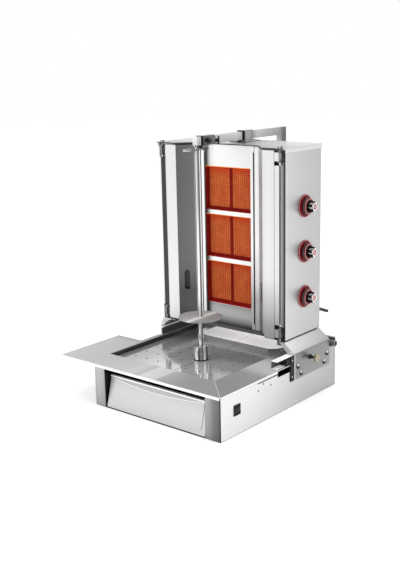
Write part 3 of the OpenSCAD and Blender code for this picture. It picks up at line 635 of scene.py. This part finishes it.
def reflection_bands_tone(m):
    # painted reflections: light and dark bands set by the horizontal direction of each face's normal; faces turned up
    # are light grey
    d = m.math("ADD", m.math("MULTIPLY", normal(m, 0), 0.77), m.math("MULTIPLY", normal(m, 1), 0.64))
    c = ramp(m, d, [(-1.0, 48), (-0.86, 60), (-0.74, 120), (-0.62, 236), (-0.1, 246), (0.24, 236), (0.42, 60), (0.58, 44), (0.7, 150), (0.86, 190), (1.0, 90)])
    return m.mix(m.step(normal(m, 2), 0.7, 0.15), c, grey(200))


rod_mat = sheet("rod_turned_painted_reflections", reflection_bands_tone, 0.16, "z", vary=0.015, smudge=0.01, bump=0.01, metal=0.6)
socket_mat = steel("socket_turned", 0.80, 0.12, "z", vary=0.04, smudge=0.02, bump=0.03)
# painted sheen: a lighter band at x 0 to 0.012
disc_mat = sheet("disc_polished_painted_sheen", lambda m: ramp(m, m.axis(0), [(-0.07, 154), (-0.03, 160), (-0.005, 178), (0.0, 212), (0.012, 220), (0.02, 156), (0.05, 144), (0.07, 154)]), 0.6, "x", vary=0.015, bump=0.004, metal=0.0, Specular_IOR_Level=0.06)
# painted light: faces turned up are painted near white, faces turned to +x dark, the rest mid grey, and the sheet glows
# a little (bounce)
rail_mat = sheet("rail_sheet", lambda m: m.mix(m.step(normal(m, 2), 0.5, 0.2), m.mix(m.step(normal(m, 0), 0.5, 0.2), grey(176), grey(60)), grey(246)), 0.36, "y", vary=0.02, bump=0.004, metal=0.1, bounce=0.24)
screw_mat = steel("screw_bright", 0.66, 0.14, "x", vary=0.03)


def dome_painted_highlight():
    m = Mat("dome_chrome_painted_highlight", Metallic=0.55)
    # painted highlight: faces turned up, towards +x and towards -y are painted near white, the rest near black
    d = m.math("ADD", m.math("MULTIPLY", normal(m, 0), 0.62), m.math("ADD", m.math("MULTIPLY", normal(m, 1), -0.30), m.math("MULTIPLY", normal(m, 2), 0.72)))
    n = m.noise((300, 300, 300), 3.0)
    c = ramp(m, d, [(-1.0, 12), (0.50, 16), (0.66, 30), (0.80, 120), (0.90, 250), (1.0, 240)])
    m.color(m.mix(m.remap(n, 0, 0.05), c, grey(120)))
    m.rough(m.remap(n, 0.18, 0.26))
    m.bump(n, 0.02, 0.0001)
    return m.m


dome_mat = dome_painted_highlight()
# painted highlights: light and dark bands set by the horizontal direction of each face's normal; faces turned up are
# light grey
hinge_mat = sheet("hinge_chrome_painted_highlights", lambda m: m.mix(m.step(normal(m, 2), 0.5, 0.2), ramp(m, m.math("ADD", m.math("MULTIPLY", normal(m, 0), 0.77), m.math("MULTIPLY", normal(m, 1), 0.64)),
                                                                                  [(-1.0, 84), (-0.7, 70), (-0.45, 230), (-0.1, 200), (0.2, 104), (1.0, 118)]), grey(205)), 0.2, "z", vary=0.03)
dark_screw = simple("dark_screw", (0.035, 0.035, 0.038), 0.38, 0.6, scale=140)
black_mat = simple("black_moulding", (0.010, 0.010, 0.011), 0.5, 0.0, scale=400, bump=0.1, Specular_IOR_Level=0.22)
seal_mat = simple("seal_rubber", (0.012, 0.012, 0.013), 0.65, 0.0, scale=300)
frame_mat = simple("frame_dark", (0.14, 0.14, 0.145), 0.45, 0.6, scale=80)
cast_mat = simple("cast_housing", (0.20, 0.205, 0.21), 0.55, 0.7, scale=220, bump=0.4)
brass_mat = simple("brass_turned", (0.40, 0.355, 0.25), 0.30, 0.9, scale=200, bump=0.1)
gas_mat = simple("pipe_steel", (0.23, 0.23, 0.235), 0.34, 0.9, scale=150)
red_mat = simple("red_enamel", (0.20, 0.004, 0.010), 0.38, 0.0, scale=260, bump=0.08, Specular_IOR_Level=0.22)
red_ring = simple("red_ring", (0.40, 0.012, 0.025), 0.36, 0.0, scale=260, bump=0.06, Specular_IOR_Level=0.25)
# painted highlight: a lighter pink for the rounded lips of the red enamel
rim_highlight = simple("enamel_lip_painted_highlight", (0.66, 0.24, 0.24), 0.36, 0.0, scale=260, bump=0.06)
knob_body_mat = simple("knob_ring", (0.085, 0.052, 0.048), 0.34, 0.25, scale=260, Specular_IOR_Level=0.4)
knob_black = simple("knob_grip", (0.006, 0.006, 0.007), 0.3, 0.0, scale=300, bump=0.05, Specular_IOR_Level=0.2)
# light grey for the painted highlights on the knob grips and for the chamfer round their caps
knob_light_grey = simple("knob_bright", (0.80, 0.80, 0.80), 0.3, 0.1, vary=0.02, scale=200)
label_mat = simple("label_white", (0.90, 0.89, 0.88), 0.4, 0.0, vary=0.02, scale=200)

paint(base_side, "base_side_walls", "base_back", w=0)
paint(base_front, "base_posts")
paint(inner_shade, "base_bottom", "drip_pan", "drawer_body", "drawer_runners", w=0.0004)
paint(tray_mat, "tray_top", w=0.0009)
paint(basin_mat, "basin", w=0.0004)
paint(floor_mat, "floor_left", "floor_right", w=0.0003)
paint(deck_mat, "deck", w=0.001)
paint(sheet("drawer_sheet", drawer_tone, 0.42, "x", vary=0.010, smudge=0.01, bump=0.003, metal=0.4), "drawer_front", w=0.0006)
paint(carriage_mat, "carriage_sides", w=0.0007)
paint(rail_mat, "rails", w=0.0005)
paint(frame_mat, "carriage_frame", w=0.0006)
paint(black_mat, "carriage_pads", "switch_body", "cable_gland", "rear_handle", w=0.0004)
paint(simple("rocker_gloss", (0.008, 0.008, 0.009), 0.35, 0.0, scale=500, bump=0.05, Specular_IOR_Level=0.25), "rocker_1", "rocker_2", w=0.0006)
paint(seal_mat, "spindle_seal", w=0.0006)
paint(cast_mat, "gear_motor", "gearbox", w=0.001)
paint(rod_mat, "spindle_shaft", "spit_rod", w=0.0004)
# painted reflections: light and dark bands set by the horizontal direction of each face's normal; faces turned up are
# light grey
chuck_mat = sheet("chuck_turned_painted_reflections", lambda m: m.mix(m.step(normal(m, 2), 0.5, 0.2), ramp(m, m.math("ADD", m.math("MULTIPLY", normal(m, 0), 0.77), m.math("MULTIPLY", normal(m, 1), 0.64)),
                                                                                  [(-1.0, 110), (-0.88, 236), (-0.55, 250), (-0.42, 130), (-0.25, 70), (-0.1, 170), (0.1, 190), (0.3, 70), (0.42, 226), (0.72, 240), (0.84, 60), (1.0, 40)]), grey(214)),
                  0.2, "z", vary=0.03, bump=0.01, metal=0.6)
paint(chuck_mat, "spit_socket", w=0.0006)
paint(disc_mat, "spit_disc", w=0.0007)
paint(dome_mat, "carriage_bolts", w=0.0003)
paint(screw_mat, "valve_stem_1", "valve_stem_2", "valve_stem_3", w=0.0003)
paint(tower_side_mat, "tower_sides", w=0.0006)
paint(back_mat, "tower_back", w=0.0006)
paint(tower_front_mat, "tower_front", w=0.0004)
paint(cap_mat, "tower_cap", w=0.0008)
paint(hinge_mat, "hinge_pins", w=0.0005)
paint(wing_l_mat, "wing_left", w=0.0004)
paint(wing_r_mat, "wing_right", w=0.0004)
paint(arm_mat, "arm_bar", w=0.0007)
paint(collar_mat, "arm_collar", w=0.0007)
paint(clamp_mat, "arm_head", w=0.0007)
paint(dark_screw, "head_screw", "arm_screw", "thermocouples", w=0.0004)
paint(gas_mat, "gas_train", "gas_inlet", w=0.0003)


# ------------------------------------------------------------------ burners
BUR_X, BUR_P, BUR_H, BUR_Z, FACE_Y = 0.093, 0.1575, 0.144, 0.271, 0.1535


def glow(name, build, strength, rough=0.6):
    m = Mat(name, Roughness=rough)
    m.b.inputs["Specular IOR Level"].default_value = 0.05
    c = build(m)
    m.color(c)
    m.link(c, m.b.inputs["Emission Color"])
    m.b.inputs["Emission Strength"].default_value = strength
    n = m.noise((700, 700, 700), 3.0)
    m.bump(n, 0.3, 0.0003)
    return m.m


def housing_color(m):
    x, z = m.axis(0), m.axis(2)
    nx, nz = normal(m, 0), normal(m, 2)
    n = m.noise((60, 60, 60), 4.0, 0.6)
    # painted light: the housing glows, and the floor and roof of the opening are painted lighter than its dark red
    # jambs, as lit by the hot plates
    c = m.mix(m.remap(n, 0, 1), (0.11, 0.004, 0.003), (0.16, 0.007, 0.005))
    floor_c = m.mix(m.remap(n, 0, 1), (0.20, 0.006, 0.005), (0.27, 0.010, 0.006))
    roof_c = m.mix(m.remap(n, 0, 1), (0.60, 0.035, 0.010), (0.72, 0.06, 0.014))
    c = m.mix(m.step(nz, 0.5, 0.1), c, floor_c)
    return m.mix(m.math("SUBTRACT", 1.0, m.step(nz, -0.5, 0.1)), c, roof_c)


def plate_color(m):
    x, z = m.axis(0), m.axis(2)
    n = m.noise((40, 40, 26), 3.0, 0.6)
    fine = m.noise((480, 480, 480), 2.0, 0.5)
    c = m.mix(m.remap(n, 0, 1), (0.47, 0.115, 0.026), (0.62, 0.215, 0.055))
    c = m.mix(m.remap(fine, 0, 0.5, 0.4, 0.7), c, (0.50, 0.07, 0.014))
    # hotter towards the upper rim and cooler towards the right
    for i in range(3):
        t = BUR_Z + i * BUR_P + BUR_H
        c = m.mix(m.math("MULTIPLY", between(m, z, t - 0.020, t + 0.002, 0.008), 0.85), c, (0.62, 0.055, 0.012))
    return m.mix(m.remap(x, 0, 0.42, 0.045, 0.093), c, (0.30, 0.045, 0.03))


house_mat = glow("burner_housing", housing_color, 0.45)
plate_mat = glow("burner_plate", plate_color, 0.22)
wire_mat = glow("burner_wire", lambda m: m.mix(m.remap(m.noise((90, 90, 90)), 0, 1), (0.30, 0.034, 0.016), (0.42, 0.064, 0.022)), 0.28)

for i in (1, 2, 3):
    paint(house_mat, "burner_%d" % i, w=0)
    paint(plate_mat, "plaques_%d" % i, w=0)


def wire_screens():
    """Woven screens lying on the ceramic plates, and the hot upper lip of each opening."""
    for i in range(3):
        z0 = BUR_Z + i * BUR_P + 0.0104
        z1 = z0 + 0.1292
        bm = bmesh.new()
        y = FACE_Y + 0.0166
        for s in (-1, 1):
            a, b = (0.0024, 0.0896) if s > 0 else (-0.0896, -0.0024)
            k = 11
            for j in range(k):
                x = a + (b - a) * (j + 0.5) / k
                pts = 26
                prev = None
                for q in range(pts + 1):
                    zz = z0 + (z1 - z0) * q / pts
                    xx = x + 0.00055 * (1 if q % 2 else -1)
                    ring = [bm.verts.new((xx + dx, y + dy, zz)) for dx, dy in ((-0.0010, 0), (0, -0.0006), (0.0010, 0), (0, 0.0005))]
                    if prev:
                        for e in range(4):
                            bm.faces.new((prev[e], prev[(e + 1) % 4], ring[(e + 1) % 4], ring[e]))
                    prev = ring
            for j in range(21):
                zz = z0 + (z1 - z0) * (j + 0.5) / 21
                block(bm, (a, y - 0.0004, zz - 0.0010), (b, y + 0.0003, zz + 0.0010))
        block(bm, (-0.0052, FACE_Y + 0.0146, z0 - 0.0002), (0.0052, FACE_Y + 0.0160, z1 + 0.0002), mat=1)
        new("burner_screen_%d" % (i + 1), bm, [wire_mat, house_mat], "carriage", smooth=0)
        bm = bmesh.new()
        t = BUR_Z + i * BUR_P + BUR_H
        prism(bm, [(0.1536, t + 0.0004), (0.1536, t - 0.0016), (0.156, t - 0.0030), (0.164, t - 0.0034), (0.164, t + 0.0002)],
              -BUR_X + 0.0003, BUR_X - 0.0003, ((0, 0, 0), (0, 1, 0), (0, 0, 1), (1, 0, 0)))
        new("burner_lip_%d" % (i + 1), bm, lip_mat, "carriage", smooth=0, bev=0.0004)


lip_mat = glow("burner_lip", lambda m: m.mix(m.remap(m.noise((120, 30, 30)), 0, 1), (0.74, 0.20, 0.03), (0.86, 0.30, 0.06)), 0.4)
wire_screens()

# ------------------------------------------------------------------ knobs
KY, KZ, TX, TURN = 0.215, (0.326, 0.473, 0.617), 0.255, math.radians(-20)


def star(t, r, hollow):
    """Radius at angle t of a four-cornered grip; hollow draws its sides in."""
    t = t - TURN
    d = abs((t + math.pi / 4) % (math.pi / 2) - math.pi / 4)
    square = r * math.cos(math.pi / 4) / math.cos(math.pi / 4 - d)
    return square * (1 - hollow * (0.5 - 0.5 * math.cos(4 * t)))


def knobs():
    ax = (1, 0, 0)
    for i, z in enumerate(KZ):
        p = (TX, KY, z)
        # enamelled bezel with a scalloped rim and a ring of pointed teeth
        bm = bmesh.new()
        lathe(bm, [(0.0062, 0.0), (0.0352, 0.0), (0.0358, 0.0008), (0.0356, 0.0022), (0.0344, 0.0032), (0.030, 0.0035), (0.0062, 0.0035), (0.0062, 0.0)],
              p, ax, 96, wob=lambda t, r, h: r * (1 + 0.022 * math.cos(14 * t)) if r > 0.03 else r)
        for k in range(18):
            t = 2 * math.pi * k / 18
            u = Vector((0, math.cos(t), math.sin(t)))
            v = Vector((0, -math.sin(t), math.cos(t)))
            o = Vector(p) + Vector((0.0034, 0, 0))
            q = [o + u * 0.0279 - v * 0.0034, o + u * 0.0279 + v * 0.0034, o + u * 0.0330]
            lo_ = [bm.verts.new(w) for w in q]
            hi_ = [bm.verts.new(w + Vector((0.0014, 0, 0)) * (1 if n < 2 else 0.3)) for n, w in enumerate(q)]
            bm.faces.new(hi_)
            for n in range(3):
                bm.faces.new((lo_[n], lo_[(n + 1) % 3], hi_[(n + 1) % 3], hi_[n]))
        # the rounded lip of the scalloped rim takes the lighter pink: a painted highlight
        lathe(bm, [(0.0348, 0.0024), (0.0358, 0.0020), (0.0360, 0.0028), (0.0352, 0.0036), (0.0344, 0.0034)], p, ax, 96, mat=1,
              wob=lambda t, r, h: r * (1 + 0.022 * math.cos(14 * t)))
        new("bezel_%d" % (i + 1), bm, [red_mat, rim_highlight], "carriage", cad="knob_bezels" if i == 0 else None, smooth=35)
        # ribbed skirt, thin red ring, four-pointed grip and its cap
        bm = bmesh.new()
        lathe(bm, [(0.0041, 0.0085), (0.0262, 0.0085), (0.0269, 0.0095), (0.0268, 0.0135), (0.0255, 0.0158), (0.0232, 0.0166), (0.0041, 0.0166), (0.0041, 0.0085)],
              p, ax, 144, wob=lambda t, r, h: r * (1 + 0.012 * math.cos(36 * t)) if r > 0.024 else r)
        lathe(bm, [(0.0206, 0.0165), (0.0244, 0.0165), (0.0247, 0.0174)], p, ax, 72, mat=1)
        # the rounded top of the red ring takes the same lighter pink: a painted highlight
        lathe(bm, [(0.0247, 0.0174), (0.0242, 0.0184), (0.0226, 0.0186)], p, ax, 72, mat=5)
        lathe(bm, [(0.0226, 0.0186), (0.0208, 0.0185)], p, ax, 72, mat=1)
        lathe(bm, [(0.0001, 0.0166), (0.0212, 0.0166), (0.0205, 0.0176), (0.0001, 0.0180)], p, ax, 48, mat=2)
        n = 96
        o = Vector(p)
        rings = []
        for r, h, k in ((0.0184, 0.0172, 0.36), (0.0184, 0.0195, 0.36), (0.0178, 0.0270, 0.26), (0.0172, 0.0348, 0.10), (0.0172, 0.0372, 0.04), (0.0165, 0.0379, 0.02)):
            ring = []
            for j in range(n):
                t = 2 * math.pi * j / n
                q = star(t, r, k)
                ring.append(bm.verts.new(o + Vector((h, q * math.cos(t), q * math.sin(t)))))
            rings.append(ring)
        for s, (a, b) in enumerate(zip(rings, rings[1:])):
            for j in range(n):
                f = bm.faces.new((a[j], a[(j + 1) % n], b[(j + 1) % n], b[j]))
                # the light grey faces on the grip's sides, in rows 1 and 2 and part of each quarter turn, are painted
                # highlights; the chamfer round the cap, row 4, is light grey too
                d = ((j / n * 2 * math.pi - TURN) / (math.pi / 2)) % 1
                f.material_index = 3 if s in (1, 2) and 0.24 < d < 0.58 or s == 4 else 2
        bm.faces.new(rings[-1]).material_index = 4
        # the outline printed on the face, standing a hair above it
        h0, h1 = o + Vector((0.0378, 0, 0)), o + Vector((0.0381, 0, 0))
        turn = [TURN + math.pi / 2 * k for k in range(4)]
        spin = [Vector((0, math.cos(t), math.sin(t))) for t in turn]
        foot = [bm.verts.new(h0 + u * 0.0108) for u in spin]
        rim = [bm.verts.new(h1 + u * 0.0106) for u in spin]
        inn = [bm.verts.new(h1 + u * 0.0042) for u in spin]
        inn0 = [bm.verts.new(h0 + u * 0.0042) for u in spin]
        for k in range(4):
            j = (k + 1) % 4
            for q in ((foot[k], foot[j], rim[j], rim[k]), (rim[k], rim[j], inn[j], inn[k]), (inn[k], inn[j], inn0[j], inn0[k])):
                bm.faces.new(q).material_index = 1
        new("knob_%d_piece" % (i + 1), bm, [knob_body_mat, red_ring, knob_black, knob_light_grey, label_mat, rim_highlight], "knob_%d" % (i + 1), cad="knob_%d" % (i + 1), smooth=35)


knobs()


# ------------------------------------------------------------------ lock screw
def lock_screw():
    p = (0.2955, 0.189, 0.1385)
    bm = bmesh.new()
    lathe(bm, [(0.0001, -0.0021), (0.004, -0.0021), (0.004, 0.0004), (0.0084, 0.0004), (0.0086, 0.0012), (0.0084, 0.0030), (0.0072, 0.0036), (0.0045, 0.0036), (0.0042, 0.0170)], p, (1, 0, 0), 40, mat=1)
    lathe(bm, [(0.0042, 0.0169), (0.0074, 0.0173), (0.0075, 0.0215), (0.0116, 0.0216), (0.0123, 0.0224), (0.0124, 0.0276), (0.0117, 0.0284), (0.0060, 0.0285), (0.0054, 0.0276), (0.0001, 0.0274)],
          p, (1, 0, 0), 180, wob=lambda t, r, h: r * (1 + 0.022 * math.cos(60 * t)) if r > 0.0118 and 0.022 < h < 0.028 else r)
    new("lock_screw_piece", bm, [brass_mat, dark_screw], "lock", cad="lock_knob", smooth=40)


lock_screw()


# ------------------------------------------------------------------ drain holes
def drain_rims():
    """Dark rim round every drain hole of the floor: painted shade at the hole's edge."""
    bm = bmesh.new()
    for xs in (-0.200, -0.150, -0.100, -0.047, 0.019, 0.071, 0.121, 0.172):
        for ys in (-0.152, -0.098, -0.043, 0.011, 0.065, 0.120):
            lathe(bm, [(0.0024, 0.0), (0.0025, 0.00012), (0.0032, 0.00012), (0.0034, 0.00002)], (xs, ys, 0.122), (0, 0, 1), 20)
    new("drain_rims", bm, drain_shade, "base", smooth=0)


drain_shade = sheet("drain_rim", 34, 0.5, "y", metal=0.0, Specular_IOR_Level=0.1)
drain_rims()


# ------------------------------------------------------------------ small fasteners
def screws():
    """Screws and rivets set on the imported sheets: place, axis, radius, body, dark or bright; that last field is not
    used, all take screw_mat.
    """
    items = [
        ("strip_screw_1", (0.2955, 0.090, 0.152), (1, 0, 0), 0.0042, "carriage", 1),
        ("strip_screw_2", (0.2955, 0.090, 0.098), (1, 0, 0), 0.0042, "carriage", 1),
    ]
    for name, p, ax, r, body, m in items:
        bm = bmesh.new()
        lathe(bm, [(r, -0.0018), (r, 0.0002), (r * 0.86, 0.0007), (r * 0.5, 0.0008), (r * 0.42, 0.0001), (0.00005, 0.0001)], (p[0] - 0.0010, p[1], p[2]), ax, 28,
              wob=None)
        new(name, bm, screw_mat, body, smooth=40)


screws()


# ------------------------------------------------------------------ studio
def studio():
    bm = bmesh.new()
    bmesh.ops.create_circle(bm, cap_ends=True, segments=64, radius=14)
    me = bpy.data.meshes.new("studio_floor")
    bm.to_mesh(me)
    bm.free()
    o = bpy.data.objects.new("studio_floor", me)
    scene.collection.objects.link(o)
    m = Mat("studio_floor", Roughness=0.95)
    c = m.mix(m.remap(m.noise((2, 2, 2)), 0, 1), (0.93, 0.93, 0.93), (0.95, 0.95, 0.95))
    m.color(c)
    m.link(c, m.b.inputs["Emission Color"])
    m.b.inputs["Emission Strength"].default_value = 0.30
    m.b.inputs["Specular IOR Level"].default_value = 0.0
    me.materials.append(m.m)
    w = bpy.data.worlds.new("studio")
    scene.world = w
    w.use_nodes = True
    t = w.node_tree
    bg = t.nodes["Background"]
    bg.inputs["Strength"].default_value = 1.0
    co = t.nodes.new("ShaderNodeTexCoord").outputs["Generated"]
    rampn = t.nodes.new("ShaderNodeValToRGB")
    sep = t.nodes.new("ShaderNodeSeparateXYZ")
    t.links.new(co, sep.inputs[0])
    t.links.new(sep.outputs[2], rampn.inputs[0])
    e = rampn.color_ramp.elements
    e[0].position, e[0].color = 0.0, (1.0, 1.0, 1.0, 1)
    e[1].position, e[1].color = 1.0, (0.85, 0.85, 0.86, 1)
    for p, v in ((0.22, 1.0), (0.45, 0.80), (0.7, 0.95)):
        x = rampn.color_ramp.elements.new(p)
        x.color = (v, v, v, 1)
    col = rampn.outputs[0]

    # darker sides of the room, out of the picture: behind the camera and to its right
    for d, a, b, f in (((0.70, -0.70, 0.12), 0.66, 0.95, 0.22), ((0.97, 0.22, 0.05), 0.90, 0.985, 0.35)):
        dot = t.nodes.new("ShaderNodeVectorMath")
        dot.operation = "DOT_PRODUCT"
        t.links.new(co, dot.inputs[0])
        dot.inputs[1].default_value = d
        mr = t.nodes.new("ShaderNodeMapRange")
        mr.interpolation_type = "SMOOTHSTEP"
        mr.inputs["From Min"].default_value, mr.inputs["From Max"].default_value = a, b
        mr.inputs["To Min"].default_value, mr.inputs["To Max"].default_value = 1.0, f
        t.links.new(dot.outputs["Value"], mr.inputs["Value"])
        mul = t.nodes.new("ShaderNodeMix")
        mul.data_type, mul.blend_type = "RGBA", "MULTIPLY"
        mul.inputs[0].default_value = 1
        t.links.new(col, mul.inputs[6])
        t.links.new(mr.outputs[0], mul.inputs[7])
        col = mul.outputs[2]
    t.links.new(col, bg.inputs["Color"])

    def area(name, at, to, size, power):
        l = bpy.data.lights.new(name, "AREA")
        l.shape, l.size, l.size_y, l.energy = "RECTANGLE", size[0], size[1], power
        q = bpy.data.objects.new(name, l)
        scene.collection.objects.link(q)
        q.location = at
        q.rotation_euler = (Vector(to) - Vector(at)).to_track_quat("-Z", "Y").to_euler()

    area("key", (-1.6, -2.0, 2.6), (0, 0, 0.4), (1.6, 1.6), 26)
    area("top", (0.3, 0.4, 3.0), (0, 0, 0.3), (2.4, 2.4), 18)
    area("side", (2.6, 0.9, 1.3), (0.1, 0.1, 0.4), (0.9, 1.8), 8)
    scene.view_settings.view_transform = "Standard"
    scene.view_settings.look = "None"


studio()
